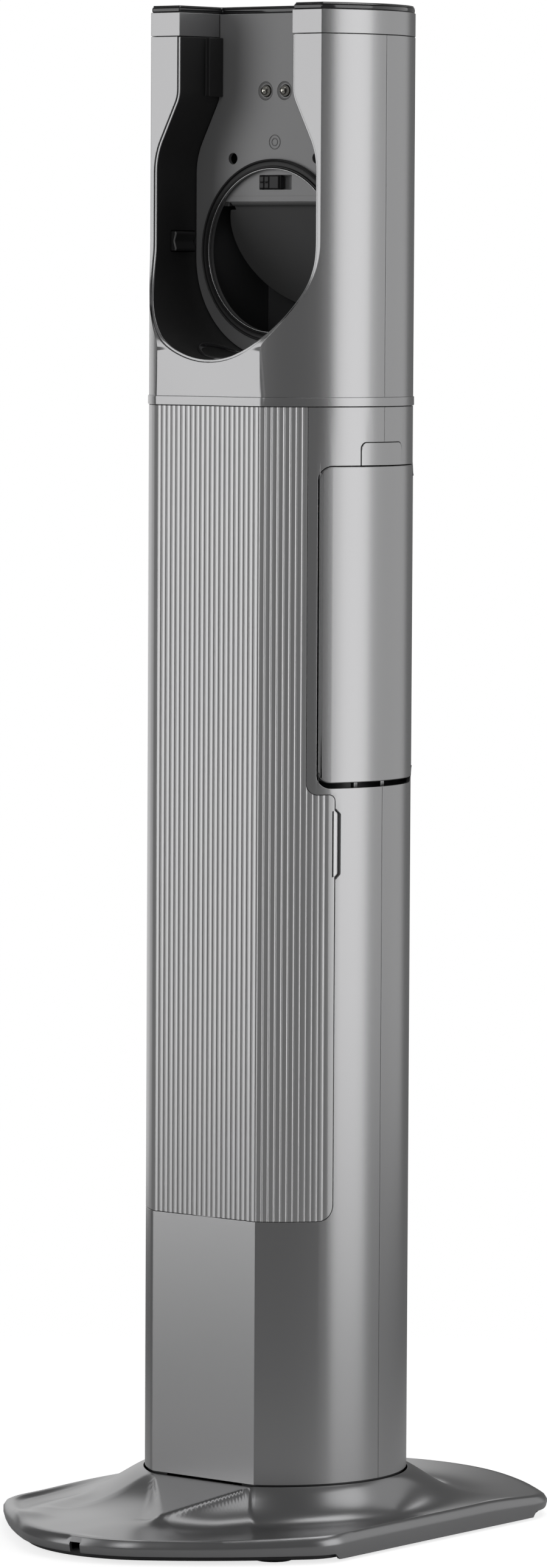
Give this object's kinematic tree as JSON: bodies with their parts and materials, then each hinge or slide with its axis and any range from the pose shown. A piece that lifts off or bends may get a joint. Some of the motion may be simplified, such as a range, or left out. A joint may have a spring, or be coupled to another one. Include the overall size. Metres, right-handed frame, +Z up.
{
  "type": "vacuum docking tower",
  "caption": "Slim round floor tower that docks, charges and empties a cordless stick vacuum cleaner, with a ribbed storage door, a dust bag cover and an oval base.",
  "frame": {"origin": "on the floor under the middle of the oval base", "axes": "+Z up along the tower, front towards -Y, dust bag cover on the +X side"},
  "size_m": [0.28, 0.408, 1],
  "materials": {
    "shell_silver": "satin metallic silver paint on moulded plastic",
    "door_silver": "satin metallic silver paint on ribbed plastic",
    "base_silver": "satin metallic silver paint",
    "cradle_black": "fine satin black",
    "under_grey": "matt dark grey",
    "cap_gloss": "polished dark grey",
    "seal_rubber": "soft moulded rubber",
    "flap_grey": "satin dark grey",
    "inner_grey": "plain moulded dark grey",
    "steel": "turned steel",
    "ballast_iron": "coated cast iron",
    "contact_metal": "plated and polished",
    "foot_rubber": "matt rubber",
    "bag_fleece": "non-woven fleece",
    "card": "pressed card",
    "filter_foam": "pleated filter fleece",
    "copper_core": "wound motor core in a steel can",
    "board_green": "solder resist",
    "lens_clear": "translucent light guide"
  },
  "bodies": {
    "tower": {"base_cover": "base_silver", "base_plate": "under_grey", "base_ballast": "ballast_iron", "rubber_feet": "foot_rubber", "base_screws": "steel", "foot_gasket": "seal_rubber", "front_shell": "shell_silver", "rear_shell": "shell_silver", "belt_band": "shell_silver", "grip_insert": "shell_silver", "lower_deck": "inner_grey", "motor_deck": "inner_grey", "bag_deck": "inner_grey", "head_deck": "inner_grey", "exhaust_grille": "shell_silver", "exhaust_filter": "filter_foam", "power_supply": "inner_grey", "power_inlet": "under_grey", "head_front_shell": "shell_silver", "head_rear_shell": "shell_silver", "cradle_liner": "cradle_black", "dock_plate": "shell_silver", "crown_band": "shell_silver", "top_cap": "cap_gloss", "status_lens": "lens_clear", "control_board": "board_green", "port_seal": "seal_rubber", "port_bridge": "shell_silver", "flap_hinge": "steel", "port_duct": "inner_grey", "suction_pipe": "inner_grey", "contact_block": "under_grey", "contact_rings": "shell_silver", "clamp_guides": "inner_grey", "door_pins": "steel", "storage_bay": "inner_grey", "accessory_posts": "inner_grey", "door_magnets": "steel", "cover_hinge_pin": "steel", "cover_hinge_lugs": "inner_grey", "latch_guide": "inner_grey", "bag_chamber": "inner_grey", "dust_bag": "bag_fleece", "bag_collar": "card", "bag_holder": "inner_grey", "motor_housing": "inner_grey", "motor_core": "copper_core", "motor_mounts": "seal_rubber", "motor_filter": "filter_foam"},
    "storage_door": {"storage_door": "door_silver"},
    "dust_cover": {"dust_cover": "shell_silver"},
    "cover_latch": {"cover_latch": "shell_silver"},
    "port_flap": {"port_flap": "flap_grey"},
    "port_slider": {"port_slider": "under_grey"},
    "left_contact": {"left_contact": "contact_metal"},
    "right_contact": {"right_contact": "contact_metal"},
    "left_clamp": {"left_clamp": "under_grey"},
    "right_clamp": {"right_clamp": "under_grey"},
    "impeller": {"impeller": "inner_grey"},
    "start_button": {"start_button": "cap_gloss"}
  },
  "joints": [
    {"name": "storage_door_hinge", "type": "hinge", "parent": "tower", "child": "storage_door", "pos_m": [-0.07363, -0.02981, 0.47], "axis": [0, 0, -1], "range_deg": [0, 115]},
    {"name": "dust_cover_hinge", "type": "hinge", "parent": "tower", "child": "dust_cover", "pos_m": [0.078, 0.01, 0.4832], "axis": [0, 1, 0], "range_deg": [0, 45]},
    {"name": "cover_latch_press", "type": "slide", "parent": "tower", "child": "cover_latch", "axis": [-1, 0, 0], "range_m": [0, 0.004], "stiffness_N_per_m": 400},
    {"name": "port_flap_hinge", "type": "hinge", "parent": "tower", "child": "port_flap", "pos_m": [0, 0.007, 0.8723], "axis": [1, 0, 0], "range_deg": [-33, 5]},
    {"name": "port_slider_slide", "type": "slide", "parent": "tower", "child": "port_slider", "axis": [1, 0, 0], "range_m": [0, 0.0085]},
    {"name": "left_contact_press", "type": "slide", "parent": "tower", "child": "left_contact", "axis": [0, 1, 0], "range_m": [0, 0.002], "stiffness_N_per_m": 300},
    {"name": "right_contact_press", "type": "slide", "parent": "tower", "child": "right_contact", "axis": [0, 1, 0], "range_m": [0, 0.002], "stiffness_N_per_m": 300},
    {"name": "left_clamp_slide", "type": "slide", "parent": "tower", "child": "left_clamp", "axis": [1, 0, 0], "range_m": [0, 0.0045]},
    {"name": "right_clamp_slide", "type": "slide", "parent": "tower", "child": "right_clamp", "axis": [-1, 0, 0], "range_m": [0, 0.0045]},
    {"name": "impeller_spin", "type": "hinge", "parent": "tower", "child": "impeller", "pos_m": [0, 0.044, 0.4], "axis": [0, 0, 1], "continuous": true},
    {"name": "start_button_press", "type": "slide", "parent": "tower", "child": "start_button", "axis": [0, 0, -1], "range_m": [0, 0.0015], "stiffness_N_per_m": 400}
  ],
  "couplings": [
    {"joint": "right_clamp_slide", "follows": "left_clamp_slide", "ratio": 1}
  ]
}
